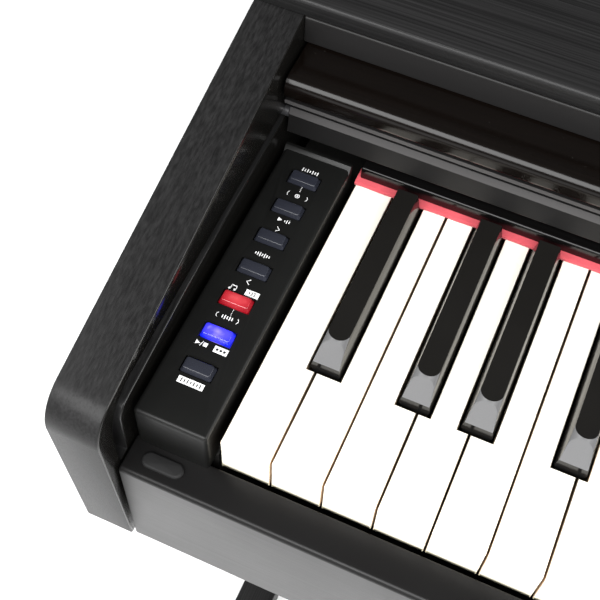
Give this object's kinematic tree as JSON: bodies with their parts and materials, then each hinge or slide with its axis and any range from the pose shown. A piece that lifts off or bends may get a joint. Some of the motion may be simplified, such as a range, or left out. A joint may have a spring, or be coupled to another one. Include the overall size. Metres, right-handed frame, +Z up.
{
  "type": "digital piano on stand",
  "caption": "Console digital piano on its own stand: keyboard between arm boards, sliding key cover, control panels, folding music rest and pedals.",
  "frame": {"origin": "on the floor, under the middle of the piano's outline", "axes": "+X to the player's right, +Y to the back, +Z up"},
  "size_m": [1.351, 0.3997, 0.8085],
  "materials": {
    "wood_black": "satin wood-grain vinyl",
    "board_raw": "matt black laminate on board",
    "rail_satin": "satin",
    "screw_steel": "zinc plated",
    "frame_plastic": "moulded",
    "rubber": "matt",
    "felt_red": "wool felt",
    "gloss_black": "gloss",
    "cover_gloss": "deep gloss",
    "panel_plastic": "fine texture",
    "speaker_cone": "paper cone",
    "circuit": "solder mask",
    "pin_nylon": "nylon",
    "pedal_brass": "polished",
    "button_dark": "satin",
    "button_red": "lit from inside",
    "button_blue": "lit from inside",
    "key_white": "semi gloss",
    "key_black": "satin top, gloss sides"
  },
  "bodies": {
    "cabinet": {"left_arm_board": "wood_black", "right_arm_board": "wood_black", "key_bed": "board_raw", "front_rail": "rail_satin", "top_board": "wood_black", "fascia_board": "rail_satin", "console_back_panel": "board_raw", "bed_screws": "screw_steel", "key_frame": "frame_plastic", "rail_bumpers": "rubber", "key_felt": "felt_red", "name_rail": "gloss_black", "left_control_panel": "panel_plastic", "right_control_panel": "panel_plastic", "music_ledge": "gloss_black", "speaker_drivers": "speaker_cone", "speaker_grilles": "panel_plastic", "main_circuit_board": "circuit", "jack_panel": "panel_plastic", "left_leg_panel": "wood_black", "left_foot": "wood_black", "right_leg_panel": "wood_black", "right_foot": "wood_black", "glide_pads": "rubber", "stand_back_panel": "wood_black", "pedal_beam": "wood_black", "pedal_housing": "panel_plastic", "pedal_axle": "screw_steel"},
    "key_cover": {"cover_board": "cover_gloss", "cover_nose_bar": "gloss_black", "cover_lip": "gloss_black", "cover_pins": "pin_nylon"},
    "music_rest": {"music_rest": "wood_black"},
    "soft_pedal": {"soft_pedal": "pedal_brass"},
    "sostenuto_pedal": {"sostenuto_pedal": "pedal_brass"},
    "damper_pedal": {"damper_pedal": "pedal_brass"},
    "function_button": {"function_button": "button_dark"},
    "chord_button": {"chord_button": "button_blue"},
    "reverb_button": {"reverb_button": "button_red"},
    "previous_button": {"previous_button": "button_dark"},
    "next_button": {"next_button": "button_dark"},
    "record_button": {"record_button": "button_dark"},
    "metronome_button": {"metronome_button": "button_dark"},
    "power_button": {"power_button": "button_dark"},
    "volume_knob": {"volume_knob": "button_dark"},
    "white_key_a0": {"white_key_a0": "key_white"},
    "white_key_b0": {"white_key_b0": "key_white"},
    "white_key_c1": {"white_key_c1": "key_white"},
    "white_key_d1": {"white_key_d1": "key_white"},
    "white_key_e1": {"white_key_e1": "key_white"},
    "white_key_f1": {"white_key_f1": "key_white"},
    "white_key_g1": {"white_key_g1": "key_white"},
    "black_key_a_sharp0": {"black_key_a_sharp0": "key_black"},
    "black_key_c_sharp1": {"black_key_c_sharp1": "key_black"},
    "black_key_d_sharp1": {"black_key_d_sharp1": "key_black"},
    "black_key_f_sharp1": {"black_key_f_sharp1": "key_black"},
    "white_keys_middle": {"white_keys_middle": "key_white"},
    "white_keys_treble": {"white_keys_treble": "key_white"},
    "black_keys_middle": {"black_keys_middle": "key_black"},
    "black_keys_treble": {"black_keys_treble": "key_black"}
  },
  "joints": [
    {"name": "cover_slide", "type": "slide", "parent": "cabinet", "child": "key_cover", "axis": [0, -0.9993, -0.037], "range_m": [0, 0.147]},
    {"name": "rest_hinge", "type": "hinge", "parent": "cabinet", "child": "music_rest", "pos_m": [0, 0.0427, 0.8015], "axis": [1, 0, 0], "range_deg": [0, 68]},
    {"name": "soft_press", "type": "hinge", "parent": "cabinet", "child": "soft_pedal", "pos_m": [-0.068, 0.034, 0.038], "axis": [1, 0, 0], "range_deg": [0, 5.5], "stiffness_Nm_per_rad": 12, "springref_deg": -5.73},
    {"name": "sostenuto_press", "type": "hinge", "parent": "cabinet", "child": "sostenuto_pedal", "pos_m": [0, 0.034, 0.038], "axis": [1, 0, 0], "range_deg": [0, 5.5], "stiffness_Nm_per_rad": 12, "springref_deg": -5.73},
    {"name": "damper_press", "type": "hinge", "parent": "cabinet", "child": "damper_pedal", "pos_m": [0.068, 0.034, 0.038], "axis": [1, 0, 0], "range_deg": [0, 5.5], "stiffness_Nm_per_rad": 12, "springref_deg": -5.73},
    {"name": "function_push", "type": "slide", "parent": "cabinet", "child": "function_button", "axis": [0, 0, -1], "range_m": [0, 0.0012], "stiffness_N_per_m": 400, "springref_m": -0.001},
    {"name": "chord_push", "type": "slide", "parent": "cabinet", "child": "chord_button", "axis": [0, 0, -1], "range_m": [0, 0.0012], "stiffness_N_per_m": 400, "springref_m": -0.001},
    {"name": "reverb_push", "type": "slide", "parent": "cabinet", "child": "reverb_button", "axis": [0, 0, -1], "range_m": [0, 0.0012], "stiffness_N_per_m": 400, "springref_m": -0.001},
    {"name": "previous_push", "type": "slide", "parent": "cabinet", "child": "previous_button", "axis": [0, 0, -1], "range_m": [0, 0.0012], "stiffness_N_per_m": 400, "springref_m": -0.001},
    {"name": "next_push", "type": "slide", "parent": "cabinet", "child": "next_button", "axis": [0, 0, -1], "range_m": [0, 0.0012], "stiffness_N_per_m": 400, "springref_m": -0.001},
    {"name": "record_push", "type": "slide", "parent": "cabinet", "child": "record_button", "axis": [0, 0, -1], "range_m": [0, 0.0012], "stiffness_N_per_m": 400, "springref_m": -0.001},
    {"name": "metronome_push", "type": "slide", "parent": "cabinet", "child": "metronome_button", "axis": [0, 0, -1], "range_m": [0, 0.0012], "stiffness_N_per_m": 400, "springref_m": -0.001},
    {"name": "power_push", "type": "slide", "parent": "cabinet", "child": "power_button", "axis": [0, 0, -1], "range_m": [0, 0.0012], "stiffness_N_per_m": 400, "springref_m": -0.001},
    {"name": "volume_turn", "type": "hinge", "parent": "cabinet", "child": "volume_knob", "pos_m": [0.6315, -0.1118, 0.73], "axis": [0, 0, 1], "range_deg": [-140, 140]},
    {"name": "key_a0_press", "type": "hinge", "parent": "cabinet", "child": "white_key_a0", "pos_m": [0, 0.0332, 0.691], "axis": [1, 0, 0], "range_deg": [0, 2.8], "stiffness_Nm_per_rad": 0.6, "springref_deg": -28.65},
    {"name": "key_b0_press", "type": "hinge", "parent": "cabinet", "child": "white_key_b0", "pos_m": [0, 0.0332, 0.691], "axis": [1, 0, 0], "range_deg": [0, 2.8], "stiffness_Nm_per_rad": 0.6, "springref_deg": -28.65},
    {"name": "key_c1_press", "type": "hinge", "parent": "cabinet", "child": "white_key_c1", "pos_m": [0, 0.0332, 0.691], "axis": [1, 0, 0], "range_deg": [0, 2.8], "stiffness_Nm_per_rad": 0.6, "springref_deg": -28.65},
    {"name": "key_d1_press", "type": "hinge", "parent": "cabinet", "child": "white_key_d1", "pos_m": [0, 0.0332, 0.691], "axis": [1, 0, 0], "range_deg": [0, 2.8], "stiffness_Nm_per_rad": 0.6, "springref_deg": -28.65},
    {"name": "key_e1_press", "type": "hinge", "parent": "cabinet", "child": "white_key_e1", "pos_m": [0, 0.0332, 0.691], "axis": [1, 0, 0], "range_deg": [0, 2.8], "stiffness_Nm_per_rad": 0.6, "springref_deg": -28.65},
    {"name": "key_f1_press", "type": "hinge", "parent": "cabinet", "child": "white_key_f1", "pos_m": [0, 0.0332, 0.691], "axis": [1, 0, 0], "range_deg": [0, 2.8], "stiffness_Nm_per_rad": 0.6, "springref_deg": -28.65},
    {"name": "key_g1_press", "type": "hinge", "parent": "cabinet", "child": "white_key_g1", "pos_m": [0, 0.0332, 0.691], "axis": [1, 0, 0], "range_deg": [0, 2.8], "stiffness_Nm_per_rad": 0.6, "springref_deg": -28.65},
    {"name": "key_a_sharp0_press", "type": "hinge", "parent": "cabinet", "child": "black_key_a_sharp0", "pos_m": [0, 0.0332, 0.691], "axis": [1, 0, 0], "range_deg": [0, 2.8], "stiffness_Nm_per_rad": 0.6, "springref_deg": -28.65},
    {"name": "key_c_sharp1_press", "type": "hinge", "parent": "cabinet", "child": "black_key_c_sharp1", "pos_m": [0, 0.0332, 0.691], "axis": [1, 0, 0], "range_deg": [0, 2.8], "stiffness_Nm_per_rad": 0.6, "springref_deg": -28.65},
    {"name": "key_d_sharp1_press", "type": "hinge", "parent": "cabinet", "child": "black_key_d_sharp1", "pos_m": [0, 0.0332, 0.691], "axis": [1, 0, 0], "range_deg": [0, 2.8], "stiffness_Nm_per_rad": 0.6, "springref_deg": -28.65},
    {"name": "key_f_sharp1_press", "type": "hinge", "parent": "cabinet", "child": "black_key_f_sharp1", "pos_m": [0, 0.0332, 0.691], "axis": [1, 0, 0], "range_deg": [0, 2.8], "stiffness_Nm_per_rad": 0.6, "springref_deg": -28.65},
    {"name": "white_keys_middle_press", "type": "hinge", "parent": "cabinet", "child": "white_keys_middle", "pos_m": [0, 0.0332, 0.691], "axis": [1, 0, 0], "range_deg": [0, 2.8], "stiffness_Nm_per_rad": 13.2, "springref_deg": -28.65},
    {"name": "white_keys_treble_press", "type": "hinge", "parent": "cabinet", "child": "white_keys_treble", "pos_m": [0, 0.0332, 0.691], "axis": [1, 0, 0], "range_deg": [0, 2.8], "stiffness_Nm_per_rad": 13.8, "springref_deg": -28.65},
    {"name": "black_keys_middle_press", "type": "hinge", "parent": "cabinet", "child": "black_keys_middle", "pos_m": [0, 0.0332, 0.691], "axis": [1, 0, 0], "range_deg": [0, 2.8], "stiffness_Nm_per_rad": 9.6, "springref_deg": -28.65},
    {"name": "black_keys_treble_press", "type": "hinge", "parent": "cabinet", "child": "black_keys_treble", "pos_m": [0, 0.0332, 0.691], "axis": [1, 0, 0], "range_deg": [0, 2.8], "stiffness_Nm_per_rad": 9.6, "springref_deg": -28.65}
  ]
}
